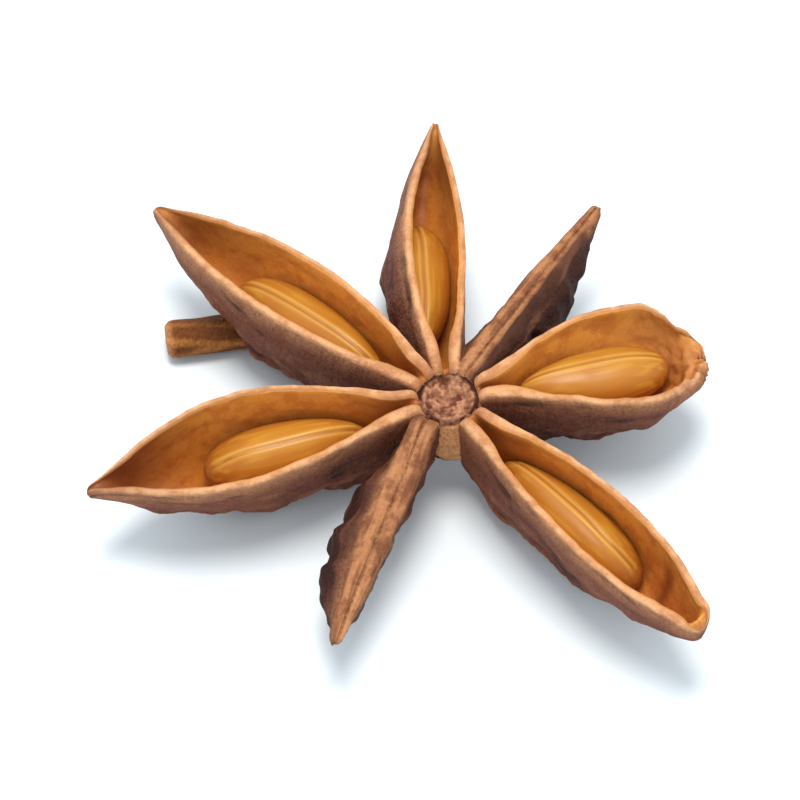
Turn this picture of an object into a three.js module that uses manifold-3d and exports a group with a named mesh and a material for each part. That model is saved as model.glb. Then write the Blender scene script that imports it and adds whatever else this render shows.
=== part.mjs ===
// A star anise pod: seven boat-shaped carpels round a short column. Five have split open over
// a seed each, two are still shut, and the bent stub of the stalk lies underneath.
//
// Millimetres, +Z up. The pod lies with its mouths up on the plane z = 0, and the origin is
// under the middle of its footprint. A carpel is lofted along +X, away from the column, and
// then turned to its azimuth. Along a carpel, `u` runs from 0 at the axis to 1 at the beak.

import * as THREE from 'three';
import { mergeVertices } from 'three/addons/utils/BufferGeometryUtils.js';
import Module from 'manifold-3d';

const wasm = await Module();
wasm.setup();

// ---- driving dimensions ---------------------------------------------------------------------

const HUB_TOP = 6.2; // height of the lips where they meet the column

// Angles in degrees, lengths in millimetres.
//   length            from the axis to the beak
//   tipRise, arch     height of the beak over the hub, and lift of the lips half-way
//   gape              half the greatest width of the mouth
//   widest, taper     where the mouth is widest, and how fast it narrows towards both ends
//   tip, tipDepth     half the width of the beak's end, and its share of the depth
//   depth, belly      lips to keel, and how far the side walls bulge
//   lean, sway        roll of the outer part, and sideways bow of its middle
//   relief, phase     depth of the wrinkles of the outer wall, and their start
// A seed has its inner end at `from`, its ridge `sink` below the lips and its middle `aside` of
// the mouth's.
const CARPELS = [
  {
    azimuth: 141.5, length: 19.4, tipRise: -0.6, arch: 0.45, gape: 2.1, widest: 0.55, taper: 2.3,
    tip: 0.16, tipDepth: 0.14, depth: 6.5, belly: 0.3, lean: 5, sway: -0.1,
    relief: 0.16, phase: 0.4,
    seed: { from: 4.7, length: 8.8, width: 2.6, height: 3.4, sink: 1.1, aside: -0.15 },
  },
  {
    azimuth: 195.5, length: 18.9, tipRise: -0.8, arch: 0.6, gape: 2.6, widest: 0.57, taper: 2.9,
    tip: 0.16, tipDepth: 0.14, depth: 6.75, belly: 0.15, lean: -5, sway: -0.2,
    relief: 0.18, phase: 2.1,
    seed: { from: 4.8, length: 8.4, width: 2.6, height: 3.4, sink: 1.1, aside: -0.1 },
  },
  {
    azimuth: 247.5, length: 14.6, tipRise: -1.6, arch: 0, gape: 0.35, widest: 0.5, taper: 2,
    tip: 0.25, tipDepth: 0.2, depth: 3.9, belly: 0.7, lean: -24, sway: -0.3,
    relief: 0.28, phase: 3.3,
  },
  {
    azimuth: 313.5, length: 18.2, tipRise: -0.3, arch: 0.4, gape: 2.05, widest: 0.6, taper: 2,
    tip: 0.6, tipDepth: 0.3, depth: 6.6, belly: 0.3, lean: 3, sway: 0.3,
    relief: 0.16, phase: 4.2,
    seed: { from: 4.4, length: 9, width: 2.4, height: 3.4, sink: 1.2, aside: 0 },
  },
  {
    azimuth: 13.5, length: 13.4, tipRise: -0.3, arch: 0.4, gape: 3.2, widest: 0.7, taper: 2.5,
    tip: 1.1, tipDepth: 0.36, depth: 5.6, belly: 0.1, lean: -6, sway: 0.3,
    relief: 0.16, phase: 5.0,
    seed: { from: 4.3, length: 6.8, width: 2.8, height: 2.5, sink: 0.8, aside: 0.1 },
  },
  {
    azimuth: 57.5, length: 14.5, tipRise: -0.7, arch: 0, gape: 0.35, widest: 0.5, taper: 2,
    tip: 0.25, tipDepth: 0.2, depth: 3.9, belly: 0.8, lean: -8, sway: 0,
    relief: 0.28, phase: 0.9,
  },
  {
    azimuth: 92, length: 17.5, tipRise: -0.6, arch: 0.3, gape: 1.5, widest: 0.55, taper: 2.5,
    tip: 0.16, tipDepth: 0.14, depth: 6.4, belly: 0.6, lean: 14, sway: 0.3,
    relief: 0.18, phase: 1.7,
    seed: { from: 4.9, length: 7.5, width: 1.8, height: 3, sink: 1.3, aside: 0.1 },
  },
];

const ROOT_START = 1.5; // distance from the axis at which a carpel starts, inside the column
const ROOT_HALF_WIDTH = 0.62;
const ROOT_DEPTH = 0.68; // depth at the column, as a share of the full depth
const DEEPEST = 0.45; // where along a carpel the keel is lowest
const RISE = { toColumn: 2, toBeak: 1.6 }; // how sharply the keel turns up towards both ends
const BELLY = { widest: 0.4, taper: 1.5 };
const WALL_CURVE = 1.75; // section of the walls: 2 would be an ellipse and 1 a plain V
const LEAN = { starts: 0.1, full: 0.5 };
const CAVITY = { opens: 0.2, closes: 0.86, ends: 0.985 };

const LIP_WALL = 0.42;
const KEEL_WALL = 1.0;
const LIP_CROWN = 0.12;
const SHARP_LIPS = 0.4; // share of the lips' wall left where the cavity closes
const SHALLOWEST = { halfWidth: 0.06, depth: 0.12 }; // the groove left at both ends of a mouth
const SUTURE = { halfWidth: 0.1, depth: 0.3 }; // the closed slit along the top of a shut carpel
const OPEN_GAPE = 0.6; // a carpel with less gape than this is shut

// Waves whose sum is the uneven relief: turns per millimetre along and per radian round.
const WAVES = [
  { share: 0.5, along: 1.1, round: 2, shift: 1 },
  { share: 0.3, along: 1.9, round: -3, shift: 2.4 },
  { share: 0.2, along: 2.6, round: 5, shift: -1.7 },
];

const STATIONS = 21;
const OUTER_POINTS = 11;
const INNER_POINTS = 9; // of an open carpel; the slit of a shut one needs fewer
const SLIT_POINTS = 3;

const COLUMN = { radius: 1.75, topRadius: 1.5, height: 4.0, dish: 0.35, rim: 0.25 };
const COLUMN_SIDES = 18;

const STALK_RADIUS = 1.0;
const STALK_LIFT = 0.95; // height of the stalk's centre line where it lies on the surface
const STALK_STEPS = 22;
const STALK_SIDES = 10;
// The stalk's way: azimuth from the hub, distance from the axis and height of each bend.
const STALK_WAY = [
  { azimuth: 100, reach: 0.0, height: 3.2 },
  { azimuth: 112, reach: 1.6, height: 1.7 },
  { azimuth: 117, reach: 5.2, height: STALK_LIFT },
  { azimuth: 123, reach: 9.6, height: STALK_LIFT },
  { azimuth: 141.5, reach: 12.2, height: STALK_LIFT },
  { azimuth: 154.8, reach: 16.1, height: STALK_LIFT },
];

const SEED_SIDES = 14;
const SEED_RINGS = 11;
const SEED_TAPER = 0.14; // how much slimmer than its middle the seed's inner half is
const SEED_RIDGE = 0.35; // how far the sides close in on the ridge

const HUSK_MATERIAL = { color: 0x7d4a32, roughness: 0.8, metalness: 0 };
const SEED_MATERIAL = { color: 0xc07a2a, roughness: 0.25, metalness: 0 };

// ---- small helpers --------------------------------------------------------------------------

const { degToRad, smoothstep, lerp } = THREE.MathUtils;

/** A smooth hump over u in 0..1 that is 1 at `peak` and 0 at both ends. */
function hump(u, peak, taper) {
  const rise = peak * taper;
  const fall = (1 - peak) * taper;
  return (u / peak) ** rise * ((1 - u) / (1 - peak)) ** fall;
}

/** The point at `reach` from the axis, in the direction of `azimuth` degrees. */
function polar(azimuth, reach, height) {
  const angle = degToRad(azimuth);
  return new THREE.Vector3(reach * Math.cos(angle), reach * Math.sin(angle), height);
}

/** Only the positions and the faces, with shared corners merged. */
function bare(geometry) {
  geometry.deleteAttribute('normal');
  geometry.deleteAttribute('uv');
  return mergeVertices(geometry);
}

function toManifold(geometry) {
  const closed = bare(geometry);
  return new wasm.Manifold(new wasm.Mesh({
    numProp: 3,
    vertProperties: new Float32Array(closed.attributes.position.array),
    triVerts: new Uint32Array(closed.index.array),
  }));
}

function toGeometry(manifold) {
  const mesh = manifold.getMesh();
  const geometry = new THREE.BufferGeometry();
  geometry.setAttribute('position', new THREE.BufferAttribute(mesh.vertProperties, 3));
  geometry.setIndex(new THREE.BufferAttribute(mesh.triVerts, 1));
  return geometry;
}

/** A closed skin over a row of loops with equally many points, with a fan over each end. */
function loft(loops) {
  const count = loops[0].length;
  const points = loops.flat();
  const faces = [];
  for (let row = 0; row + 1 < loops.length; row += 1) {
    for (let i = 0; i < count; i += 1) {
      const next = (i + 1) % count;
      const a = row * count + i;
      const b = row * count + next;
      faces.push(a, b, a + count, b, b + count, a + count);
    }
  }
  for (const row of [0, loops.length - 1]) {
    const middle = new THREE.Vector3();
    loops[row].forEach((point) => middle.addScaledVector(point, 1 / count));
    const centre = points.push(middle) - 1;
    for (let i = 0; i < count; i += 1) {
      const a = row * count + i;
      const b = row * count + (i + 1) % count;
      faces.push(...(row === 0 ? [centre, b, a] : [centre, a, b]));
    }
  }
  return new THREE.BufferGeometry().setFromPoints(points).setIndex(faces);
}

// ---- carpels --------------------------------------------------------------------------------

/** Height of the lips above the surface. */
function lipHeight(carpel, u) {
  return HUB_TOP + carpel.tipRise * u ** 1.5 + carpel.arch * Math.sin(Math.PI * u);
}

/** Sideways offset of the middle of the mouth. */
function swayAt(carpel, u) {
  return carpel.sway * Math.sin(Math.PI * u);
}

/** Half the width over both lips. */
function mouthHalfWidth(carpel, u) {
  const stem = lerp(ROOT_HALF_WIDTH, carpel.tip, u ** 3);
  return Math.hypot(stem, carpel.gape * hump(u, carpel.widest, carpel.taper));
}

/** Distance from the lips down to the keel. */
function depthAt(carpel, u) {
  if (u < DEEPEST) {
    const back = (DEEPEST - u) / DEEPEST;
    return carpel.depth * lerp(1, ROOT_DEPTH, back ** RISE.toColumn);
  }
  const forward = (u - DEEPEST) / (1 - DEEPEST);
  return carpel.depth * lerp(1, carpel.tipDepth, forward ** RISE.toBeak);
}

/** The uneven relief of the outer wall, from -1 to 1. */
function wrinkle(carpel, distance, angle) {
  return WAVES.reduce((sum, { share, along, round, shift }) => (
    sum + share * Math.sin(along * distance + round * angle + shift * carpel.phase)
  ), 0);
}

/** Roll of the section at u, in radians: the lean grows away from the column. */
function rollAt(carpel, u) {
  return degToRad(carpel.lean) * smoothstep(u, LEAN.starts, LEAN.full);
}

/** The sideways and downward share of the wall at `round` radians from the keel. */
function wallAt(round) {
  const side = Math.sin(round);
  const down = Math.max(Math.cos(round), 0);
  return [Math.sign(side) * Math.abs(side) ** (2 / WALL_CURVE), down ** (2 / WALL_CURVE)];
}

/** The closed section at u: down the outer wall, round the keel, and back up the inner wall. */
function carpelSection(carpel, u) {
  const isOpen = carpel.gape > OPEN_GAPE;
  const along = u * carpel.length;
  const width = mouthHalfWidth(carpel, u);
  const depth = depthAt(carpel, u);
  const bulge = carpel.belly * hump(u, BELLY.widest, BELLY.taper);
  const hollow = smoothstep(along, ROOT_START, CAVITY.opens * carpel.length)
    * (1 - smoothstep(u, CAVITY.closes, CAVITY.ends));

  const innerWidth = isOpen
    ? Math.max(width - LIP_WALL * lerp(SHARP_LIPS, 1, hollow), SHALLOWEST.halfWidth)
    : SUTURE.halfWidth;
  const innerDepth = isOpen
    ? Math.max((depth - KEEL_WALL) * hollow, SHALLOWEST.depth)
    : SUTURE.depth;
  const innerBulge = isOpen ? bulge * hollow : 0;
  const innerPoints = isOpen ? INNER_POINTS : SLIT_POINTS;

  const flat = []; // [across, up] from the middle of the mouth
  for (let i = 0; i < OUTER_POINTS; i += 1) {
    const round = Math.PI * (i / (OUTER_POINTS - 1) - 0.5);
    const swell = 1 + carpel.relief / 2 * Math.cos(round) * wrinkle(carpel, along, round);
    const [side, down] = wallAt(round);
    const across = width * side + bulge * Math.sin(2 * round);
    flat.push([across * swell, -depth * down * swell]);
  }
  const lipMiddle = (width + innerWidth) / 2;
  flat.push([lipMiddle, LIP_CROWN]);
  for (let i = 0; i < innerPoints; i += 1) {
    const round = Math.PI * (0.5 - i / (innerPoints - 1));
    const [side, down] = wallAt(round);
    flat.push([innerWidth * side + innerBulge * Math.sin(2 * round), -innerDepth * down]);
  }
  flat.push([-lipMiddle, LIP_CROWN]);

  const roll = rollAt(carpel, u);
  return flat.map(([across, up]) => new THREE.Vector3(
    along,
    across * Math.cos(roll) - up * Math.sin(roll) + swayAt(carpel, u),
    across * Math.sin(roll) + up * Math.cos(roll) + lipHeight(carpel, u),
  ));
}

function carpelGeometry(carpel) {
  const loops = [];
  for (let i = 0; i < STATIONS; i += 1) {
    const u = lerp(ROOT_START / carpel.length, 1, i / (STATIONS - 1));
    loops.push(carpelSection(carpel, u));
  }
  return loft(loops).rotateZ(degToRad(carpel.azimuth));
}

// ---- column and stalk -----------------------------------------------------------------------

/** The column between the carpels, with the sunken scar on its top. */
function columnGeometry() {
  const { radius, topRadius, height, dish, rim } = COLUMN;
  const profile = [
    new THREE.Vector2(0, HUB_TOP - height),
    new THREE.Vector2(radius, HUB_TOP - height),
    new THREE.Vector2(radius, HUB_TOP - rim),
    new THREE.Vector2(topRadius, HUB_TOP),
    new THREE.Vector2(topRadius - rim, HUB_TOP - rim),
    new THREE.Vector2(0, HUB_TOP - dish - rim),
  ];
  return new THREE.LatheGeometry(profile, COLUMN_SIDES).rotateX(Math.PI / 2);
}

function stalkGeometry() {
  const way = STALK_WAY.map(({ azimuth, reach, height }) => polar(azimuth, reach, height));
  const outline = new THREE.Shape().absarc(0, 0, STALK_RADIUS, 0, 2 * Math.PI);
  return new THREE.ExtrudeGeometry(outline, {
    extrudePath: new THREE.CatmullRomCurve3(way, false, 'centripetal'),
    steps: STALK_STEPS,
    curveSegments: STALK_SIDES / 2,
  });
}

/** Everything above the surface that the pod lies on. */
function aboveSurface() {
  const side = 100;
  return toManifold(new THREE.BoxGeometry(side, side, side).translate(0, 0, side / 2));
}

function podMesh() {
  let solid = toManifold(columnGeometry()).add(toManifold(stalkGeometry()));
  for (const carpel of CARPELS) {
    solid = solid.add(toManifold(carpelGeometry(carpel)));
  }
  const pod = new THREE.Mesh(
    toGeometry(solid.intersect(aboveSurface())),
    new THREE.MeshStandardMaterial(HUSK_MATERIAL),
  );
  pod.name = 'pod';
  return pod;
}

// ---- seeds ----------------------------------------------------------------------------------

/** A flattened seed along +X with its ridge up, round at the outer end and slim at the inner. */
function seedGeometry({ length, width, height }) {
  const geometry = new THREE.SphereGeometry(1, SEED_SIDES, SEED_RINGS).rotateZ(-Math.PI / 2);
  const position = geometry.attributes.position;
  const point = new THREE.Vector3();
  for (let i = 0; i < position.count; i += 1) {
    point.fromBufferAttribute(position, i);
    const fullness = 1 - SEED_TAPER * (1 - point.x);
    const closing = 1 - SEED_RIDGE * Math.max(point.z, 0) ** 3;
    position.setXYZ(
      i,
      length / 2 * point.x,
      width / 2 * point.y * fullness * closing,
      height / 2 * point.z * fullness,
    );
  }
  return bare(geometry);
}

/** The seed of a carpel, in a group turned to the carpel's azimuth. */
function seedInCarpel(carpel, name) {
  const { from, length, height, sink, aside } = carpel.seed;
  const seed = new THREE.Mesh(
    seedGeometry(carpel.seed),
    new THREE.MeshStandardMaterial(SEED_MATERIAL),
  );
  seed.name = name;
  const u = (from + length / 2) / carpel.length;
  const roll = rollAt(carpel, u);
  const drop = sink + height / 2;
  seed.position.set(
    u * carpel.length,
    swayAt(carpel, u) + drop * Math.sin(roll) + aside,
    lipHeight(carpel, u) - drop * Math.cos(roll),
  );
  seed.rotation.x = roll;
  const turned = new THREE.Group();
  turned.rotation.z = degToRad(carpel.azimuth);
  turned.add(seed);
  return turned;
}

// ---- assembly -------------------------------------------------------------------------------

const lying = new THREE.Group();
lying.add(podMesh());
CARPELS.filter((carpel) => carpel.seed).forEach((carpel, i) => {
  lying.add(seedInCarpel(carpel, `seed_${i + 1}`));
});

const footprint = new THREE.Box3().setFromObject(lying, true);
const centre = footprint.getCenter(new THREE.Vector3());
lying.position.set(-centre.x, -centre.y, 0);

const starAnise = new THREE.Group();
starAnise.add(lying);

export default starAnise;
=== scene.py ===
"""The looks of a star anise pod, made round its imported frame.

The husk is one mesh: seven carpels, the column and the stalk are lofted as grids, given their
wrinkles as real relief, and joined. Each seed is a mesh of its own that fills its carpel's
cavity. Lengths are millimetres until a mesh is made, and metres in Blender.
"""

import itertools
import math

import bmesh
import bpy
import numpy as np
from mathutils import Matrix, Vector, kdtree


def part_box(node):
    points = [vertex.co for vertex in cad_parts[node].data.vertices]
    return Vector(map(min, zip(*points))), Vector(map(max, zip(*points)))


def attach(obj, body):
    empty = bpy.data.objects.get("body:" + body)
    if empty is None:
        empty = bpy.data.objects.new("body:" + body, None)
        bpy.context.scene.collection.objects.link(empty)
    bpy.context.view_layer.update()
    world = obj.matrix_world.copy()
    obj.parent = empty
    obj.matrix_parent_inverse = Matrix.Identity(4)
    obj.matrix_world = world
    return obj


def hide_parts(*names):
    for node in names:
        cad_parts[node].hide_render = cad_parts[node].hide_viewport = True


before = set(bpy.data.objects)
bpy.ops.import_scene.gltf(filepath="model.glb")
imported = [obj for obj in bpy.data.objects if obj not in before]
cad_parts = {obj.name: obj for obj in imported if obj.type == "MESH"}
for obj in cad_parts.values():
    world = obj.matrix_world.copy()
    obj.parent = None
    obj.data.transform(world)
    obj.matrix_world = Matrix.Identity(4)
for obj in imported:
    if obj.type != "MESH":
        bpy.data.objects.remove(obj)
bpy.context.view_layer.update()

MM = 0.001

# ---- driving dimensions, close to the frame's -------------------------------------------------

HUB_TOP = 6.16  # height of the lips where they meet the column

# Along a carpel, u runs from 0 at the column's axis to 1 at the beak. Lengths are millimetres,
# angles are degrees, and the rest are shares, places along u or exponents.
#   azimuth, length       where it points, and from the axis to the beak
#   tip_rise, arch        rise of the lips at the beak and in the middle
#   gape, widest, taper   half the mouth's greatest width, where that is, and how fast it narrows
#   tip, tip_depth        half the width of the beak's end, and its share of the depth
#   depth, belly          from the lips to the keel, and how far the side walls bulge
#   lean, sway            roll of the outer part, and sideways bow of the middle
#   relief, phase         strength of the slow swells, and what makes its wrinkles its own
#   blunt                 length of the rounded end
#   seed                  the frame's node in an open carpel, or None in a shut one
# The others are in USUAL, which holds unless a carpel says otherwise.
USUAL = dict(
    root_sway=0,  # sideways bow near the column
    belly_widest=0.4, belly_taper=1.5,  # where the side walls bulge most, and how fast they stop
    rise_to_beak=1.6,  # exponent of the keel's rise
    closes=0.86,  # where the cavity starts to end
    beak_curve=1.75,  # exponent of the inner wall's section at the beak: 1 is a plain V
    beak_slit=1,  # share of the cavity's width that is left at the beak
    dark_flank=(2, 3),  # from and to how many half widths aside a dark flank sets in: here never
    flange=0, flange_at=0.5,  # how far the dark flank stands out, and where most
    shade_and_spot=0.6,  # strength of the painted shade inside the beak
    spot=None,  # where a dark spot lies inside
    torn=False,
    seed_in=0, seed_out=0,  # how far the seed goes past the frame's, to the axis and to the beak
    seed_up=0, seed_aside=0,  # its shift from the frame's
)
CARPELS = [{**USUAL, **own} for own in (
    dict(azimuth=141.5, length=19.4, tip_rise=-0.6, arch=0.45, gape=2.1, widest=0.55, taper=2.3,
         tip=0.16, tip_depth=0.14, depth=6.5, belly=0.3, lean=5, sway=-0.1,
         relief=0.16, phase=0.4, blunt=0.35, shade_and_spot=0.65,
         seed="seed_1", seed_in=0.7, seed_out=0.2),
    dict(azimuth=195.5, length=18.88, tip_rise=-0.8, arch=0.6, gape=2.6, widest=0.57, taper=2.9,
         tip=0.16, tip_depth=0.14, depth=6.75, belly=0.15, lean=-5, sway=-0.2,
         relief=0.18, phase=2.1, blunt=0.25, shade_and_spot=0.9,
         seed="seed_2", seed_in=0.8, seed_out=-0.4),
    dict(azimuth=247.5, length=14.6, tip_rise=-1.6, arch=0, gape=0.35, widest=0.5, taper=2,
         tip=0.25, tip_depth=0.2, depth=3.9, belly=0.7, lean=-24, sway=-0.3, root_sway=-0.45,
         relief=0.28, phase=3.3, blunt=0.35, belly_widest=0.55, belly_taper=2.5,
         dark_flank=(1.2, 1.6), flange=0.45, flange_at=0.62,
         seed=None),
    dict(azimuth=313.5, length=18.2, tip_rise=-0.3, arch=0.4, gape=1.85, widest=0.6, taper=2,
         tip=0.85, tip_depth=0.3, depth=6.6, belly=0.3, lean=3, sway=0.12,
         relief=0.16, phase=4.2, blunt=0.5, beak_slit=0.8, closes=0.95, beak_curve=1.15,
         shade_and_spot=0.3, spot=0.81,
         seed="seed_3", seed_in=0.9, seed_aside=-0.15),
    dict(azimuth=13.5, length=13.4, tip_rise=-0.3, arch=0.4, gape=3.2, widest=0.7, taper=2.5,
         tip=1.1, tip_depth=0.36, depth=5.6, belly=0.1, lean=-6, sway=0.3,
         relief=0.16, phase=5.0, blunt=0.5, shade_and_spot=0.3, torn=True,
         seed="seed_4", seed_in=0.8, seed_out=0.55, seed_up=0.2),
    dict(azimuth=57.5, length=14.5, tip_rise=-0.7, arch=0, gape=0.35, widest=0.5, taper=2,
         tip=0.25, tip_depth=0.12, depth=3.9, belly=0.8, lean=-8, sway=0,
         relief=0.28, phase=0.9, blunt=0.35, rise_to_beak=1.0,
         dark_flank=(0.45, 0.75), flange=0.5,
         seed=None),
    dict(azimuth=92, length=17.5, tip_rise=-0.6, arch=0.3, gape=1.5, widest=0.55, taper=2.5,
         tip=0.16, tip_depth=0.14, depth=6.4, belly=0.6, lean=14, sway=0.3,
         relief=0.18, phase=1.7, blunt=0.25,
         seed="seed_5", seed_in=0.6),
)]

ROOT_START = 1.5  # where a carpel starts, inside the column
ROOT_HALF_WIDTH = 0.62
ROOT_DEPTH = 0.68  # share of the depth at the column
ROOT_SWAY = (0.12, 0.18)  # middle and width of root_sway along u
DEEPEST = 0.45  # where the keel is lowest along u
RISE_TO_COLUMN = 2
WALL_CURVE = 1.75  # exponent of a section: 2 is an ellipse, 1 a plain V
LEAN = (0.1, 0.5)  # from where to where along u a carpel rolls to its lean
WAVES = ((0.5, 1.1, 2, 1), (0.3, 1.9, -3, 2.4), (0.2, 2.6, 5, -1.7))  # share, along, around, shift

LIP_WALL = 0.38
SHARP_LIPS = 0.4  # share of the lips' wall where there is no cavity
KEEL_WALL = 1.0
BEAK_KEEL_WALL = 0.55
CAVITY_OPENS = 0.2
CAVITY_ENDS = 0.985
MOUTH_AT_COLUMN = 0.3  # share of the mouth's width that is open at the column
MOUTH_OPENS = (1.6, 5.2)  # from and to how far from the axis it gets its whole width
NARROWEST = 0.06
SHALLOWEST = 0.05
GROOVE = (0.05, 0.03, 0.0)  # half width, depth and bulge of a shut carpel's groove

CROWN = 0.13  # how far a lip's edge is rounded upwards
KNOB = (0.9, 0.55, 0.35)  # thicker inner end of a lip: share, how far from the start, and length

COLUMN_RADIUS = 1.75
COLUMN_HEIGHT = 4.0
STALK_RADIUS = 1.0
STALK_LIFT = 0.95
# azimuth from the hub, distance from the axis, height
STALK_WAY = ((100, 0.0, 3.2), (112, 1.6, 1.7), (117, 5.2, STALK_LIFT), (123, 9.6, STALK_LIFT),
             (141.5, 12.2, STALK_LIFT), (154.8, 16.1, STALK_LIFT))

# ---- noise and curves -------------------------------------------------------------------------

NOISE_SEED = 7
NOISE_SLOPES = 1024  # a power of two
NOISE_GAIN = 1.8


def make_noise(seed):
    """A smooth random function of three coordinates, mostly between -1 and 1.

    It changes over about one unit, so that the factor of a length is its waves per millimetre.
    The last coordinates are often plain numbers that only keep two draws apart.
    """
    slopes = np.random.default_rng(seed).normal(size=(NOISE_SLOPES, 3))
    slopes /= np.linalg.norm(slopes, axis=1, keepdims=True)
    primes = np.array([73856093, 19349663, 83492791])

    def noise_at(x, y, z=0.0):
        point = np.stack(np.broadcast_arrays(x, y, z), -1).astype(float)
        cell = np.floor(point).astype(np.int64)
        inside = point - cell
        ease = inside ** 3 * (inside * (inside * 6 - 15) + 10)
        total = np.zeros(point.shape[:-1])
        for corner in itertools.product((0, 1), repeat=3):
            mixed = (cell + corner) * primes
            key = mixed[..., 0] ^ mixed[..., 1] ^ mixed[..., 2]
            share = np.prod(np.where(corner, ease, 1 - ease), -1)
            total += share * ((inside - corner) * slopes[key & (NOISE_SLOPES - 1)]).sum(-1)
        return NOISE_GAIN * total

    return noise_at


noise = make_noise(NOISE_SEED)


def lerp(a, b, t):
    return a + (b - a) * t


def smoothstep(x, low, high):
    t = np.clip((x - low) / (high - low), 0, 1)
    return t * t * (3 - 2 * t)


def bell(x, middle, width):
    return np.exp(-((x - middle) / width) ** 2)


def hump(u, peak, taper):
    """From 0 at both ends to 1 at the peak."""
    rise = peak * taper
    fall = (1 - peak) * taper
    u = np.clip(u, 1e-6, 1)
    return (u / peak) ** rise * ((1 - u) / (1 - peak)) ** fall


def full_circle(count):
    return np.linspace(0, 2 * np.pi, count, endpoint=False)[None, :]


def length_along(points):
    """How far along a line each of its points lies."""
    steps = np.linalg.norm(np.diff(points, axis=0), axis=1)
    return np.concatenate([[0], np.cumsum(steps)])


def rolled(across, up, angle):
    """A section's points turned about its origin."""
    return (across * np.cos(angle) - up * np.sin(angle),
            across * np.sin(angle) + up * np.cos(angle))


# ---- grids ------------------------------------------------------------------------------------

# What the husk's material reads at each point: on the inner wall, on the rim of a lip, how far
# down, how far out, from -1 in a crease to 1 on a ridge, on a shut carpel, on the column, on the
# stalk, on a torn end, on a dark flank, and the painted shade inside the beak with any dark spot.
TRAITS = ("inside", "rim", "down", "reach", "crease", "shut", "core", "stalk", "torn", "flank",
          "shade_and_spot")
NO_TRAITS = dict.fromkeys(TRAITS, 0.0)


def normals_of(grid):
    """Outward unit normals of a grid whose second index closes on itself."""
    along = np.gradient(grid, axis=0)
    around = np.roll(grid, -1, axis=1) - np.roll(grid, 1, axis=1)
    normal = np.cross(around, along)
    return normal / np.maximum(np.linalg.norm(normal, axis=2, keepdims=True), 1e-9)


def add_trait(mesh, name, values):
    made = mesh.attributes.new(name, "FLOAT", "POINT")
    made.data.foreach_set("value", values.astype(np.float32))


def grid_mesh(name, grid, traits):
    """A closed mesh over a grid in millimetres, with a fan at each end and traits at its points."""
    rows, count = grid.shape[:2]
    ends = np.stack([grid[0].mean(0), grid[-1].mean(0)])
    points = np.concatenate([grid.reshape(-1, 3), ends]) * MM
    first_end, last_end = rows * count, rows * count + 1
    index = np.arange(rows * count).reshape(rows, count)
    turned = np.roll(index, -1, axis=1)
    sides = np.stack([index[:-1], turned[:-1], turned[1:], index[1:]], -1)
    faces = sides.reshape(-1, 4).tolist()
    faces += [[first_end, b, a] for a, b in zip(index[0].tolist(), turned[0].tolist())]
    faces += [[last_end, a, b] for a, b in zip(index[-1].tolist(), turned[-1].tolist())]
    mesh = bpy.data.meshes.new(name)
    mesh.from_pydata(points.tolist(), [], faces)
    for trait, values in traits.items():
        flat = np.broadcast_to(values, (rows, count))
        at_ends = [flat[0].mean(), flat[-1].mean()]
        add_trait(mesh, trait, np.concatenate([flat.reshape(-1), at_ends]))
    mesh.shade_smooth()
    piece = bpy.data.objects.new(name, mesh)
    bpy.context.scene.collection.objects.link(piece)
    return piece


def turned_inside_out(grid, traits):
    """The same grid run round the other way, with its traits."""
    flipped = {key: np.broadcast_to(values, grid.shape[:2])[:, ::-1]
               for key, values in traits.items()}
    return grid[:, ::-1], flipped


def turned_to(grid, azimuth):
    angle = math.radians(azimuth)
    turn = np.array([[math.cos(angle), math.sin(angle), 0],
                     [-math.sin(angle), math.cos(angle), 0],
                     [0, 0, 1]])
    return grid @ turn


# ---- the smooth carpel ------------------------------------------------------------------------

STATIONS = 112  # along a carpel
END_STATIONS = 7  # round its end
OUTER = 56  # points of a section: outside, from lip to lip
INNER = 32  # inside an open carpel
GROOVE_POINTS = 12  # in the groove of a shut one
RIM = 5  # over each lip
OVER_LIP = (np.arange(RIM) + 0.5) / RIM  # from 0 outside to 1 inside

INNER_CURVES = (0.7, 0.92)  # from where to where the inner wall turns to its beak_curve
SLIT_NARROWS = (0.76, 0.97)  # the same for the beak_slit
KEEL_THINS = (0.7, 0.95)  # and for the thinner keel at the beak
END_LEFT = 0.12  # share of the section that is left at the very end
END_FULLNESS = 0.8
END_HEART = -0.45  # the height that the end closes round, as a share of the depth


def mouth_half_width(c, u):
    stem = lerp(ROOT_HALF_WIDTH, c["tip"], u ** 3)
    return np.hypot(stem, c["gape"] * hump(u, c["widest"], c["taper"]))


def depth_at(c, u):
    back = np.clip((DEEPEST - u) / DEEPEST, 0, 1)
    forward = np.clip((u - DEEPEST) / (1 - DEEPEST), 0, 1)
    near = lerp(1, ROOT_DEPTH, back ** RISE_TO_COLUMN)
    far = lerp(1, c["tip_depth"], forward ** c["rise_to_beak"])
    return c["depth"] * np.where(u < DEEPEST, near, far)


def lip_height(c, u):
    return HUB_TOP + c["tip_rise"] * u ** 1.5 + c["arch"] * np.sin(np.pi * u)


def sway_at(c, u):
    return c["sway"] * np.sin(np.pi * u) + c["root_sway"] * bell(u, *ROOT_SWAY)


def roll_at(c, u):
    return math.radians(c["lean"]) * smoothstep(u, *LEAN)


def bulge_at(c, u):
    return c["belly"] * hump(u, c["belly_widest"], c["belly_taper"])


def base_swell(c, along, angle):
    """The slow swells that the CAD has too."""
    total = sum(share * np.sin(a * along + r * angle + shift * c["phase"])
                for share, a, r, shift in WAVES)
    return 1 + c["relief"] / 2 * np.cos(angle) * total


def wall_at(angle, curve=WALL_CURVE):
    """The sideways and downward share of the wall at an angle from the keel."""
    side = np.sin(angle)
    down = np.maximum(np.cos(angle), 0)
    return np.sign(side) * np.abs(side) ** (2 / curve), down ** (2 / curve)


def inner_curve(c, u):
    return lerp(WALL_CURVE, c["beak_curve"], smoothstep(u, *INNER_CURVES))


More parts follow.
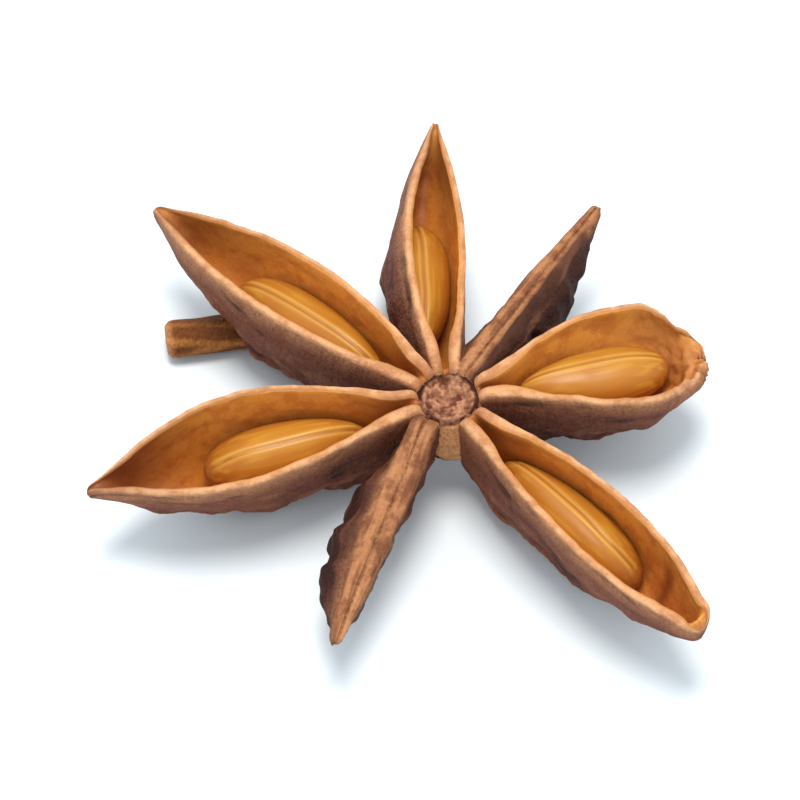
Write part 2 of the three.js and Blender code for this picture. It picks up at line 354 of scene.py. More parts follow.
def cavity(c, u):
    """Half width, depth and bulge of the inner wall. The mouth is a mere slit at the column."""
    along = u * c["length"]
    opened = smoothstep(along, ROOT_START, CAVITY_OPENS * c["length"])
    hollow = opened * (1 - smoothstep(u, c["closes"], CAVITY_ENDS))
    slit = lerp(MOUTH_AT_COLUMN, 1, smoothstep(along, *MOUTH_OPENS)) \
        * lerp(1, c["beak_slit"], smoothstep(u, *SLIT_NARROWS))
    lip_wall = LIP_WALL * lerp(SHARP_LIPS, 1, hollow)
    keel_wall = lerp(KEEL_WALL, BEAK_KEEL_WALL, smoothstep(u, *KEEL_THINS))
    return (np.maximum((mouth_half_width(c, u) - lip_wall) * slit, NARROWEST),
            np.maximum((depth_at(c, u) - keel_wall) * hollow, SHALLOWEST),
            bulge_at(c, u) * hollow)


def carpel_stations(c):
    """The stations along u as a column, and the share of the section that the end leaves there."""
    blunt = c["blunt"] / c["length"]
    rounding = np.linspace(0, 1, END_STATIONS + 1)[1:, None] * np.pi / 2
    straight = np.linspace(ROOT_START / c["length"], 1 - blunt, STATIONS)[:, None]
    left = np.maximum(np.cos(rounding), END_LEFT) ** END_FULLNESS
    return (np.concatenate([straight, 1 - blunt * (1 - np.sin(rounding))]),
            np.concatenate([np.ones((STATIONS, 1)), left]))


def carpel_section(c, u):
    """Across and up from the lips' middle: round the outside, over a lip, and back inside."""
    along = u * c["length"]
    width, depth, bulge = mouth_half_width(c, u), depth_at(c, u), bulge_at(c, u)
    inner_width, inner_depth, inner_bulge = cavity(c, u) if c["seed"] else GROOVE
    inner_count = INNER if c["seed"] else GROOVE_POINTS
    outer_angle = np.linspace(-np.pi / 2, np.pi / 2, OUTER)[None, :]
    inner_angle = np.linspace(np.pi / 2, -np.pi / 2, inner_count)[None, :]
    rim_angle = np.linspace(0, np.pi, RIM + 2)[None, 1:-1]
    outer_side, outer_down = wall_at(outer_angle)
    inner_side, inner_down = wall_at(inner_angle, inner_curve(c, u))
    swell = base_swell(c, along, outer_angle)
    middle = (width + inner_width) / 2
    half = (width - inner_width) / 2
    knob_share, knob_from, knob_length = KNOB
    knob = bell(along, ROOT_START + knob_from, knob_length)
    crown = np.minimum(CROWN, half) * (1 + knob_share * knob)
    across = np.concatenate([
        (width * outer_side + bulge * np.sin(2 * outer_angle)) * swell,
        middle + half * np.cos(rim_angle),
        inner_width * inner_side + inner_bulge * np.sin(2 * inner_angle),
        -middle + half * np.cos(rim_angle),
    ], 1)
    up = np.concatenate([
        -depth * outer_down * swell,
        crown * np.sin(rim_angle),
        -inner_depth * inner_down,
        crown * np.sin(rim_angle),
    ], 1)
    return across, up


# ---- what makes a carpel uneven ---------------------------------------------------------------

LIP_REACH = 1.6  # how far down a wall its lip's unevenness goes
SHUT_LIPS = 0.5  # share of it that a shut carpel has
WALL_WANDER = 0.03  # share of the width
LIP_WANDER = 0.035
LIP_WAVES = ((0.07, 0.5, 9.0), (0.03, 1.8, 2.0))  # height, waves per millimetre, noise plane
LIP_END = (0.55, 0.35, 0.98)  # length and height of a lip's rounded inner end, and how round

RIM_OUTSIDE = (0.8, 0.3)  # how much the rim's tone shows just outside, and how far down it goes
RIM_INWARD = (0.8, 1.6)  # how much it fades over a lip, and the exponent of that

CORNER = (0.3, 0.85, 0.09)  # height, middle and width of the torn lip's raised corner
TORN_LIPS = (0.8, 0.97)  # from where to where along u the lips are torn down
TORN_DROP = 0.5
TORN_RAGGED = 0.15
TORN_TILT = 0.3  # one lip is torn down further than the other
TORN_PINCH = 0.3  # share of the width
TORN_WALLS = (0.72, 0.95)  # from where to where along u the walls crumple
FOLD_HEIGHT = 0.28

FLANK_ENDS = (0.8, 0.93)  # from where to where along u a dark flank fades
FLANGE_WIDTH = 0.28  # along u
FLANGE_UNEVEN = 0.8
BEAK_SHADE_SPAN = (0.55, 0.92)  # from where to where along u the painted shade inside the beak sets in
SPOT_WIDTH = 0.035  # along u
SPOT_DARKNESS = 0.8

RELIEF_STARTS = 0.8  # how far from a carpel's start its relief is whole
# Share of each layer of relief at the lips and low on the wall: as a height and as a tone.
OPEN_HEIGHT = dict(long=(0.035, 0.09), fine=(0.018, 0.05), lumps=(0.015, 0.12), knobs=(0, 0.07))
SHUT_HEIGHT = dict(long=(0.06, 0.09), fine=(0.03, 0.03), lumps=(0, 0.22), knobs=(0, 0.10))
OPEN_TONE = dict(long=(0.7, 0.7), fine=(0.4, 0.4), lumps=(0, 0.8), knobs=(0, 0.5))
SHUT_TONE = dict(long=(0.5, 0.5), streaks=(0.9, 0.9), lumps=(0, 0.6))
INNER_HEIGHT = 0.012


def with_uneven_lips(c, u, across, up):
    """The section with lips that wander, each in its own way, and end rounded at the column."""
    along = u * c["length"]
    side = np.sign(across)
    near_lip = np.clip(1 + up / LIP_REACH, 0, 1) ** 2
    own = side * 3.7 + c["phase"] * 11
    uneven = 1 if c["seed"] else SHUT_LIPS
    across = across * (1 + WALL_WANDER * noise(along * 0.5, own))
    across += side * near_lip * LIP_WANDER * uneven * noise(along * 1.5, own, 4.0)
    up = up + near_lip * uneven * sum(height * noise(along * rate, own, plane)
                                      for height, rate, plane in LIP_WAVES)
    if c["torn"]:
        height, middle, width = CORNER
        up = up + near_lip * (side > 0) * height * bell(u, middle, width)
        frayed = smoothstep(u, *TORN_LIPS)
        ragged = TORN_DROP + TORN_RAGGED * noise(along * 2.3, own, 31.0) - TORN_TILT * side
        up = up - near_lip * frayed * ragged
        pinch = TORN_PINCH * frayed * near_lip * (1 + 0.5 * noise(along * 2.0, own, 37.0))
        across = across * (1 - pinch)
    length, drop, roundness = LIP_END
    start = np.clip(1 - (along - ROOT_START) / length, 0, 1)
    up = up - drop * near_lip * (1 - np.sqrt(1 - roundness * start ** 2))
    return across, up


def rim_of(c, down):
    """1 on the edge of a lip, less outside, and least on its inner side."""
    share, reach = RIM_OUTSIDE
    fade, exponent = RIM_INWARD
    over_lip = 1 - fade * OVER_LIP ** exponent
    rim = np.zeros_like(down)
    rim[:, :OUTER] = share * np.clip(1 - down[:, :OUTER] * c["depth"] / reach, 0, 1)
    rim[:, OUTER:OUTER + RIM] = over_lip
    rim[:, -RIM:] = over_lip[::-1]
    return rim


def from_lips(walked):
    """Distance from the nearer lip, and the side from -1 at the first lip to 1 at the last."""
    first = walked - walked[:, :1]
    last = walked[:, -1:] - walked
    return np.minimum(first, last), (first - last) / (first + last)


def weighed(layers, shares, low):
    """The layers of relief by their shares, from the lips where low is 0 to where it is 1."""
    return sum(lerp(*shares[name], low) * layers[name] for name in shares)


def carpel_relief(c, grid, along, down):
    """Height over the smooth carpel, and tone from -1 in a crease to 1 on a ridge."""
    # measured from the nearer lip, so that wrinkles run along the carpel
    step = np.linalg.norm(np.diff(grid, axis=1, prepend=grid[:, :1]), axis=2)
    walked = np.cumsum(step, axis=1)
    outer_around, outer_side = from_lips(walked[:, :OUTER])
    inner_around, inner_side = from_lips(walked[:, OUTER:])
    around = np.concatenate([outer_around, inner_around], 1)
    own = c["phase"] * 17 + 1.5 * np.concatenate([outer_side, -inner_side], 1)

    warp = 0.6 * noise(along * 0.4, around * 0.3, own)
    wide_streaks = noise(along * 0.25, around * 2.6, own + 30)
    fine_streaks = noise(along * 0.5, around * 6, own + 33)
    layers = dict(
        long=noise(along * 0.28, around * 1.3 + warp, own + 3),
        fine=noise(along * 0.7, around * 3.4 + 2 * warp, own + 5),
        lumps=noise(along * 0.6 + warp, around * 0.8, own + 8),
        knobs=1 - 2 * np.abs(noise(along * 1.1 + warp, around * 1.1, own + 13)),
        streaks=wide_streaks + 0.5 * fine_streaks,
    )
    low = smoothstep(down, 0.15, 0.8)
    if c["seed"]:
        height = weighed(layers, OPEN_HEIGHT, low) * smoothstep(down, 0.0, 0.06)
        tone = weighed(layers, OPEN_TONE, low)
    else:
        height = weighed(layers, SHUT_HEIGHT, smoothstep(down, 0.03, 0.3))
        tone = weighed(layers, SHUT_TONE, low)
    is_outer = np.arange(grid.shape[1]) < OUTER
    height = np.where(is_outer, height, INNER_HEIGHT * layers["streaks"] * (down > 0))
    return height, np.clip(np.where(is_outer, tone, layers["streaks"]), -1, 1)


def torn_share(c, u, along, across):
    if not c["torn"]:
        return 0 * u
    return smoothstep(u, *TORN_WALLS) * (0.5 + 0.5 * noise(along * 0.7, across * 0.7, 3.0))


def shade_and_spot_at(c, u, down):
    # Painted shade inside the beak, and a dark spot where a carpel has one.
    shade_and_spot = c["shade_and_spot"] * smoothstep(u, *BEAK_SHADE_SPAN)
    if c["spot"] is None:
        return shade_and_spot
    spot = SPOT_DARKNESS * bell(u, c["spot"], SPOT_WIDTH) * smoothstep(down, 0.05, 0.25)
    return np.maximum(shade_and_spot, spot)


def carpel_grid(c):
    """The grid of a carpel round the axis at the origin, and the traits of its points."""
    u, left = carpel_stations(c)
    along = u * c["length"]
    across, up = carpel_section(c, u)
    down = np.clip(-up / c["depth"], 0, 1)
    across, up = with_uneven_lips(c, u, across, up)
    # The beak's end is rounded off.
    across = across * left
    heart = END_HEART * depth_at(c, u)
    up = heart + (up - heart) * left

    sideways, height = rolled(across, up, roll_at(c, u))
    grid = np.stack([np.broadcast_to(along, across.shape),
                     sideways + sway_at(c, u),
                     height + lip_height(c, u)], -1)

    relief, tone = carpel_relief(c, grid, along, down)
    width = np.maximum(mouth_half_width(c, u), 0.3)
    flank = smoothstep(-across / width, *c["dark_flank"]) * (1 - smoothstep(u, *FLANK_ENDS))
    flange = flank * bell(u, c["flange_at"], FLANGE_WIDTH) * c["flange"]
    relief = relief \
        + flange * (1 + FLANGE_UNEVEN * noise(along * 0.9, across * 0.9, c["phase"] * 5))
    torn = torn_share(c, u, along, across)
    folds = 1 - 2 * np.abs(noise(along * 1.7 + across * 0.9, across * 1.3 - up * 0.9, 50.0))
    relief = relief + torn * FOLD_HEIGHT * folds
    fade = smoothstep(along, ROOT_START, ROOT_START + RELIEF_STARTS)
    grid = grid + normals_of(grid) * (relief * fade)[..., None]

    if c["seed"]:
        inside = np.concatenate([np.zeros(OUTER), OVER_LIP, np.ones(INNER), OVER_LIP[::-1]])
    else:
        inside = 0.0
    traits = dict(NO_TRAITS, inside=inside, rim=rim_of(c, down), down=down, reach=u,
                  crease=np.clip(tone + torn * folds, -1, 1), shut=float(not c["seed"]),
                  torn=torn, flank=flank, shade_and_spot=shade_and_spot_at(c, u, down))
    return turned_to(grid, c["azimuth"]), traits


# ---- column and stalk -------------------------------------------------------------------------

COLUMN_RINGS = 70
COLUMN_SIDES = 96
# Radius, and height over the lips, from the underside to the middle of the sunken scar.
COLUMN_PROFILE = np.array([
    (0.05, -COLUMN_HEIGHT), (1.0, -COLUMN_HEIGHT), (1.5, -3.7), (COLUMN_RADIUS, -3.0),
    (COLUMN_RADIUS, -1.6), (COLUMN_RADIUS - 0.1, -0.8), (1.6, -0.4), (1.5, -0.22), (1.38, -0.14),
    (1.2, -0.22), (0.9, -0.38), (0.5, -0.46), (0.25, -0.58), (0.04, -0.72)])
COLUMN_OUT_OF_ROUND = 0.07
SCAR_RELIEF = 0.17
COLUMN_RELIEF = 0.06

STALK_STATIONS = 120
STALK_SIDES = 36
STALK_END = 0.45  # length of its rounded end


def column_grid():
    """The column with its sunken scar, as rings from the underside to the middle of the scar."""
    walked = length_along(COLUMN_PROFILE)
    t = np.linspace(0, walked[-1], COLUMN_RINGS)
    radius = np.interp(t, walked, COLUMN_PROFILE[:, 0])[:, None]
    height = np.interp(t, walked, COLUMN_PROFILE[:, 1])[:, None]
    angle = full_circle(COLUMN_SIDES)
    rim_wave = noise(1.3 * np.cos(angle), 1.3 * np.sin(angle), 70.0)
    radius = radius * (1 + COLUMN_OUT_OF_ROUND * rim_wave * smoothstep(radius, 0.6, 1.2))
    x = radius * np.cos(angle)
    y = radius * np.sin(angle)
    coarse = noise(x * 1.9, y * 1.9, height * 1.9)
    fine = noise(x * 4.6, y * 4.6, height * 4.6)
    grains = 0.7 * coarse + 0.8 * fine
    on_top = smoothstep(height, -0.7, -0.3)
    lift = SCAR_RELIEF * grains * on_top * smoothstep(radius, 0.0, 0.3)
    out = COLUMN_RELIEF * grains * (1 - on_top) * smoothstep(radius, 0.3, 1.0)
    wider = 1 + out / np.maximum(radius, 0.3)
    grid = np.stack([x * wider, y * wider, HUB_TOP + height + lift], -1)
    traits = dict(NO_TRAITS, down=np.clip(-height / COLUMN_HEIGHT, 0, 1),
                  reach=radius / COLUMN_RADIUS, crease=np.clip(grains, -1, 1), core=1.0)
    return grid, traits


def smooth_way(points, count):
    """Points along a Catmull-Rom curve through the given ones."""
    points = np.array(points, float)
    padded = np.vstack([2 * points[0] - points[1], points, 2 * points[-1] - points[-2]])
    way = []
    for t in np.linspace(0, len(points) - 1 - 1e-9, count):
        i = int(t)
        f = t - i
        a, b, c, d = padded[i:i + 4]
        way.append(0.5 * (2 * b + (c - a) * f + (2 * a - 5 * b + 4 * c - d) * f ** 2
                          + (3 * b - a - 3 * c + d) * f ** 3))
    return np.array(way)


def stalk_grid():
    """The stalk as rings along its way, from under the column to its broken end."""
    bends = [(reach * math.cos(math.radians(azimuth)), reach * math.sin(math.radians(azimuth)), z)
             for azimuth, reach, z in STALK_WAY]
    way = smooth_way(bends, STALK_STATIONS)
    ahead = np.gradient(way, axis=0)
    ahead /= np.linalg.norm(ahead, axis=1, keepdims=True)
    across = np.cross(ahead, (0, 0, 1))
    across /= np.linalg.norm(across, axis=1, keepdims=True)
    over = np.cross(across, ahead)
    angle = full_circle(STALK_SIDES)
    walked = length_along(way)[:, None]
    lines = noise(walked * 0.25, 2.2 * np.cos(angle), 2.2 * np.sin(angle) + 40)
    lumps = noise(walked * 0.7, 1.1 * np.cos(angle), 1.1 * np.sin(angle) + 60)
    end = smoothstep(walked, walked[-1] - STALK_END, walked[-1])
    radius = STALK_RADIUS * (0.97 + 0.07 * lines + 0.05 * lumps) * (1 - 0.25 * end ** 3)
    spokes = np.cos(angle)[..., None] * across[:, None] + np.sin(angle)[..., None] * over[:, None]
    grid = way[:, None] + radius[..., None] * spokes
    traits = dict(NO_TRAITS, down=0.5, reach=end, crease=np.clip(1.3 * lines, -1, 1), stalk=1.0)
    return turned_inside_out(grid, traits)


# ---- the husk ---------------------------------------------------------------------------------


def rest_on_surface(grid):
    """Presses what would dip below the surface flat onto it."""
    grid = grid.copy()
    grid[..., 2] = np.maximum(grid[..., 2], 0.0)
    return grid


def coordinates(mesh):
    flat = np.zeros(len(mesh.vertices) * 3, np.float32)
    mesh.vertices.foreach_get("co", flat)
    return flat.reshape(-1, 3)


def trait_values(mesh, trait):
    flat = np.zeros(len(mesh.vertices), np.float32)
    mesh.attributes[trait].data.foreach_get("value", flat)
    return flat


def apply_modifiers(piece):
    graph = bpy.context.evaluated_depsgraph_get()
    made = bpy.data.meshes.new_from_object(piece.evaluated_get(graph), depsgraph=graph)
    piece.modifiers.clear()
    piece.data = made


def connected_parts(shape):
    """The sets of points that edges join."""
    unseen = set(shape.verts)
    parts = []
    while unseen:
        part = set()
        front = {unseen.pop()}
        while front:
            part |= front
            front = {edge.other_vert(point) for point in front for edge in point.link_edges} - part
        unseen -= part
        parts.append(part)
    return parts


def keep_largest_part(mesh):
    """Deletes the tiny closed bits that a join can leave inside."""
    shape = bmesh.new()
    shape.from_mesh(mesh)
    largest = max(connected_parts(shape), key=len)
    bits = [point for point in shape.verts if point not in largest]
    bmesh.ops.delete(shape, geom=bits, context="VERTS")
    shape.to_mesh(mesh)
    shape.free()


def join_all(pieces):
    """One closed mesh out of overlapping ones. Traits are read back from the nearest point."""
    points = np.concatenate([coordinates(piece.data) for piece in pieces])
    values = {trait: np.concatenate([trait_values(piece.data, trait) for piece in pieces])
              for trait in TRAITS}
    base = pieces[0]
    for other in pieces[1:]:
        union = base.modifiers.new("join", "BOOLEAN")
        union.operation = "UNION"
        union.solver = "MANIFOLD"
        union.object = other
        apply_modifiers(base)
        bpy.data.objects.remove(other)
    keep_largest_part(base.data)

    tree = kdtree.KDTree(len(points))
    for i, point in enumerate(points):
        tree.insert(point, i)
    tree.balance()
    nearest = np.array([tree.find(v.co)[1] for v in base.data.vertices])
    for trait in TRAITS:
        old = base.data.attributes.get(trait)
        if old is not None:
            base.data.attributes.remove(old)
        add_trait(base.data, trait, values[trait][nearest])
    base.data.shade_smooth()
    return base


def find_hub(grids):
    """The axis of the column: the footprint's middle lies over the middle of the frame's."""
    points = np.concatenate([grid.reshape(-1, 3) for grid, _ in grids])
    low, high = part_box("pod")
    middle = np.array((low + high) / 2)[:2] / MM
    hub = middle - (points.min(0) + points.max(0))[:2] / 2
    return np.array([hub[0], hub[1], 0])


def build_husk():
    grids = [carpel_grid(c) for c in CARPELS] + [column_grid(), stalk_grid()]
    hub = find_hub(grids)
    husk = join_all([grid_mesh("part", rest_on_surface(grid + hub), traits)
                     for grid, traits in grids])
    husk.name = "husk"
    return husk, hub


# ---- seeds ------------------------------------------------------------------------------------

SEED_RINGS = 100
SEED_SIDES = 90
SEED_HALF_WIDTH = 1.3  # of the frame's smooth solids, to tell their length from their box
SEED_FULLNESS = 1.9  # half the thickness that a seed would take if the walls let it
SEED_SLIMMER = 0.13  # share by which the end at the column is slimmer, for each half
SEED_TALLER = 1.25  # height over that of the frame's smooth solid
SEED_SLACK = 0.09  # between a seed and the wall
SEED_SOFTNESS = 0.07  # how gently the walls hold it in
# Exponents of the outline towards the column and towards the beak.
GIRTH_IN, GIRTH_OUT = (1.9, 0.62), (2.2, 0.5)
STATURE_IN, STATURE_OUT = (3.4, 0.5), (2.4, 0.5)
# Middle and width of the two ridges along the top and of the groove between them.
RIDGE, SECOND_RIDGE, RIDGE_GROOVE = (0.0, 0.11), (0.36, 0.10), (0.18, 0.08)
SECOND_RIDGE_SHARE = 0.7
RIDGE_HEIGHT = 0.06
GROOVE_DEPTH = 0.04
STREAK_HEIGHT = 0.012
RIDGE_BENDS = 0.10
POLE = 0.03  # radians that are left out at each end


def seed_outline(t, inward, outward):
    """Share of the full girth or height along a seed, from -1 at the column's end to 1."""
    power = np.where(t < 0, inward[0], outward[0])
    roundness = np.where(t < 0, inward[1], outward[1])
    return (1 - np.abs(t) ** power) ** roundness


def frame_seed(c, hub):
    """Middle of the frame's seed along, across and over its carpel, its half length and height."""
    low, high = (np.array(corner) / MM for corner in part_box(c["seed"]))
    middle = turned_to(((low + high) / 2 - hub)[None], -c["azimuth"])[0]
    half = (high - low) / 2
    half_length = math.sqrt(half[0] ** 2 + half[1] ** 2 - SEED_HALF_WIDTH ** 2)
    return middle, half_length, half[2]


def wall_limit(c, u, deep):
    """Half the width of the cavity at a depth under the lips."""
    width, depth, bulge = cavity(c, u)
    down = np.clip(deep / depth, 0, 1)
    curve = inner_curve(c, u)
    cosine = down ** (curve / 2)
    sine = np.sqrt(1 - cosine ** 2)
    return np.maximum(width * sine ** (2 / curve) + 2 * bulge * sine * cosine, 0.02)


def held_by_walls(c, u, sideways, height):
    """Brings a seed's points in to where the walls of its cavity hold it."""
    roll = roll_at(c, u)
    across, up = rolled(sideways - sway_at(c, u), height - lip_height(c, u), -roll)
    limit = np.maximum(wall_limit(c, u, np.maximum(-up, 0)) - SEED_SLACK, 0.01)
    held = -SEED_SOFTNESS * np.logaddexp(-np.abs(across) / SEED_SOFTNESS, -limit / SEED_SOFTNESS)
    across = np.sign(across) * np.maximum(held, 0)
    sideways, height = rolled(across, up, roll)
    return sideways + sway_at(c, u), height + lip_height(c, u)


def build_seed(c, hub):
    """A glossy seed that fills its cavity, with a fine double ridge along its top."""
    (reach, aside, middle_height), half_length, half_height = frame_seed(c, hub)
    own = c["phase"] * 23

    t = -np.cos(np.linspace(POLE, np.pi - POLE, SEED_RINGS))[:, None]
    girth = seed_outline(t, GIRTH_IN, GIRTH_OUT)
    stature = seed_outline(t, STATURE_IN, STATURE_OUT)
    turn = full_circle(SEED_SIDES)
    across = SEED_FULLNESS * np.sin(turn) * girth * (1 - SEED_SLIMMER * (1 - t))
    tall = SEED_TALLER * half_height
    up = c["seed_up"] + half_height - tall + tall * np.cos(turn) * stature

    top = smoothstep(np.cos(turn), 0.2, 0.75) * smoothstep(girth, 0.2, 0.6)
    from_ridge = across - RIDGE_BENDS * noise(t * 1.3, own)
    ridge = bell(from_ridge, *RIDGE) + SECOND_RIDGE_SHARE * bell(from_ridge, *SECOND_RIDGE)
    groove = bell(from_ridge, *RIDGE_GROOVE)
    streaks = noise(t * 0.9, across * 4.5, up * 4 + own)
    up = up + top * (RIDGE_HEIGHT * ridge - GROOVE_DEPTH * groove) + STREAK_HEIGHT * streaks * top

    along = reach + t * half_length - c["seed_in"] * (1 - t) / 2 + c["seed_out"] * (1 + t) / 2
    sideways, height = rolled(across, up, roll_at(c, np.array(reach / c["length"])))
    sideways, height = held_by_walls(c, along / c["length"], aside + c["seed_aside"] + sideways,
                                     middle_height + height)
    grid = np.stack([np.broadcast_to(along, sideways.shape), sideways, height], -1)
    grid = turned_to(grid, c["azimuth"]) + hub
    # ridge, groove and high carry the seed's painted highlight along its ridges and its painted
    # shade in the groove and low down
    traits = dict(ridge=np.clip(top * ridge, 0, 1), groove=top * groove, end=(t + 1) / 2,
                  high=np.clip(up / tall * 0.5 + 0.5, 0, 1), streak=np.clip(streaks, -1, 1))
    number = c["seed"][-1]
    return grid_mesh("seed_coat_" + number, *turned_inside_out(grid, traits))


# ---- materials --------------------------------------------------------------------------------

# A Mix node's sockets for colours.
MIX_A, MIX_B, MIX_RESULT = 6, 7, 2


def paint(red, green, blue):
    """A colour given as it looks, from 0 to 255, as the linear one that shaders use."""
    linear = [c / 255 / 12.92 if c <= 10 else ((c / 255 + 0.055) / 1.055) ** 2.4
              for c in (red, green, blue)]
    return (*linear, 1.0)


class Graph:
    """Short calls for a material's nodes. A colour is a socket, or a triple for paint()."""

    def __init__(self, name):
        self.material = bpy.data.materials.new(name)
        self.material.use_nodes = True
        self.tree = self.material.node_tree
        self.shader = self.tree.nodes["Principled BSDF"]

    def feed(self, socket, value):
        if isinstance(value, bpy.types.NodeSocket):
            self.tree.links.new(value, socket)
        else:
            socket.default_value = value

    def trait(self, name):
        node = self.tree.nodes.new("ShaderNodeAttribute")
        node.attribute_name = name
        return node.outputs["Fac"]

    def math(self, operation, a, b=0.0):
        node = self.tree.nodes.new("ShaderNodeMath")
        node.operation = operation
        self.feed(node.inputs[0], a)
        self.feed(node.inputs[1], b)
        return node.outputs[0]

    def step(self, value, low, high, to_low=0.0, to_high=1.0):
        node = self.tree.nodes.new("ShaderNodeMapRange")
        node.interpolation_type = "SMOOTHSTEP"
        for key, x in zip(("Value", "From Min", "From Max", "To Min", "To Max"),
                          (value, low, high, to_low, to_high)):
            self.feed(node.inputs[key], x)
        return node.outputs["Result"]

    def noise(self, per_mm, detail=3.0, roughness=0.55):
        node = self.tree.nodes.new("ShaderNodeTexNoise")
        place = self.tree.nodes.new("ShaderNodeTexCoord").outputs["Object"]
        self.feed(node.inputs["Vector"], place)
        self.feed(node.inputs["Scale"], per_mm / MM)
        self.feed(node.inputs["Detail"], detail)
        self.feed(node.inputs["Roughness"], roughness)
        return node.outputs["Fac"]

    def mix(self, factor, a, b, blend="MIX"):
        node = self.tree.nodes.new("ShaderNodeMix")
        node.data_type = "RGBA"
        node.blend_type = blend
        self.feed(node.inputs["Factor"], factor)
        for key, colour in ((MIX_A, a), (MIX_B, b)):
            is_socket = isinstance(colour, bpy.types.NodeSocket)
            self.feed(node.inputs[key], colour if is_socket else paint(*colour))
        return node.outputs[MIX_RESULT]

    def layers(self, colour, *layers):
        """A colour under layers, each with its strength, where it lies and its own colour."""
        for strength, where, over in layers:
            colour = self.mix(self.math("MULTIPLY", where, strength), colour, over)
        return colour

    def grey(self, value):
        node = self.tree.nodes.new("ShaderNodeCombineColor")
        for key in ("Red", "Green", "Blue"):
            self.feed(node.inputs[key], value)
        return node.outputs[0]

    def bump(self, height, distance, strength):
        node = self.tree.nodes.new("ShaderNodeBump")
        self.feed(node.inputs["Height"], height)
        self.feed(node.inputs["Distance"], distance * MM)
        self.feed(node.inputs["Strength"], strength)
        return node.outputs["Normal"]


class HuskGraph(Graph):
    """The husk's traits and noises, and the colours of its parts."""

    def __init__(self):
        super().__init__("husk")
        self.traits = {name: self.trait(name) for name in TRAITS}
        self.broad = self.noise(0.35, 2.0)
        self.patches = self.noise(0.9, 4.0, 0.6)
        self.spots = self.noise(2.2, 3.0, 0.6)
        self.grain = self.noise(6.0, 4.0, 0.6)
        # Where the relief lies high and low. The colours laid on these are partly streaks of the
        # husk's own colour and partly painted shade in creases and painted highlight on ridges.
        self.on_ridge = self.by("crease", 0.15, 0.8)
        self.in_crease = self.by("crease", -0.05, -0.7)

    def by(self, trait, low, high, to_low=0.0, to_high=1.0):
        """A soft step of a trait."""
        return self.step(self.traits[trait], low, high, to_low, to_high)

    def outer_wall(self):
        """Tan under the lips, mauve brown below, and painted shade nearly black in the creases of
        the keel.
        """
        under_lip = self.mix(self.by("down", 0.03, 0.26), (178, 120, 84), (130, 75, 54))
        return self.layers(
            under_lip,
            (1.0, self.by("down", 0.3, 0.85), (98, 44, 24)),
            (0.35, self.step(self.patches, 0.5, 0.66), (148, 92, 70)),
            (0.45, self.step(self.broad, 0.5, 0.7), (110, 50, 38)),
            # painted shade in the creases of the wrinkles
            (0.8, self.in_crease, (56, 28, 17)),
            (0.4, self.on_ridge, (174, 116, 84)),
            (0.5, self.by("reach", 0.30, 0.10), (150, 84, 56)),
        )

    def shut_carpel(self, outer):
        """An orange brown ridge with tan streaks over dark walls."""
        ridge = self.mix(self.step(self.patches, 0.42, 0.62), (176, 118, 78), (134, 82, 52))
        return self.layers(
            ridge,
            (0.6, self.in_crease, (104, 60, 40)),
            (0.4, self.on_ridge, (204, 150, 106)),
            (1.0, self.by("down", 0.03, 0.2), self.mix(0.5, outer, (62, 34, 28))),
        )

    def inner_wall(self):
        """Orange brown and smooth, redder and darker towards the root and the keel, with painted
        shade inside the beak.
        """
        return self.layers(
            self.mix(self.by("down", 0.05, 0.5), (234, 160, 68), (222, 138, 50)),
            (0.8, self.by("reach", 0.30, 0.12), (128, 58, 26)),
            (0.35, self.step(self.broad, 0.42, 0.62), (216, 144, 74)),
            (0.45, self.step(self.patches, 0.56, 0.40), (186, 96, 40)),
            (0.35, self.in_crease, (150, 78, 34)),
            (0.2, self.on_ridge, (222, 156, 88)),
            # painted shade inside the beak, and a dark spot
            (1.0, self.traits["shade_and_spot"], (118, 52, 25)),
        )

    def torn_end(self):
        # darker in the hollows of the folds: painted shade
        return self.mix(self.by("crease", -0.4, 0.6), (106, 48, 26), (186, 120, 76))

    def lip(self):
        return self.mix(self.step(self.patches, 0.4, 0.62), (226, 170, 122), (194, 134, 92))

    def column(self):
        """A grainy scar, darker in its hollows and lighter on its crumbs, in a broken ring of
        painted shade under its sunken rim, and a pale wall.
        """
        # darker in the hollows and lighter on the crumbs of the scar's relief: partly its own
        # mottling, partly painted shade and painted highlight
        scar = self.mix(self.by("crease", -0.8, 0.8), (106, 56, 38), (200, 140, 104))
        broken = self.step(self.patches, 0.4, 0.52, 0.25, 1.0)
        # painted shade in the rim of the sunken scar, broken by patches
        scar_rim_shade = self.math("MULTIPLY", self.by("reach", 0.7, 0.8), broken)
        scar = self.mix(scar_rim_shade, scar, (70, 34, 24))
        wall = self.mix(self.step(self.patches, 0.4, 0.65), (224, 158, 104), (200, 134, 84))
        return self.mix(self.by("reach", 0.87, 0.93), scar, wall)

    def stalk(self):
        bark = self.mix(self.by("crease", -0.6, 0.6), (116, 66, 32), (180, 114, 56))
        return self.mix(self.traits["reach"], bark, (196, 134, 86))

    def dark_flank(self):
        return self.mix(self.by("crease", 0.0, 0.7), (56, 29, 23), (98, 58, 44))

    def colour(self):
        outer = self.outer_wall()
        outer = self.mix(self.traits["shut"], outer, self.shut_carpel(outer))
        on_lip = self.math("MULTIPLY", self.traits["rim"],
                           self.math("SUBTRACT", 1.0, self.traits["shut"]))
        colour = self.layers(
            self.mix(self.traits["inside"], outer, self.inner_wall()),
            (0.75, self.traits["torn"], self.torn_end()),
            (0.9, on_lip, self.lip()),
            (1.0, self.traits["core"], self.column()),
            (1.0, self.traits["stalk"], self.stalk()),
            (0.92, self.traits["flank"], self.dark_flank()),
        )
        shade = self.grey(self.step(self.grain, 0.32, 0.68, 0.64, 0.98))
        return self.mix(self.fading(0.3, 0.45), colour, shade, "MULTIPLY")

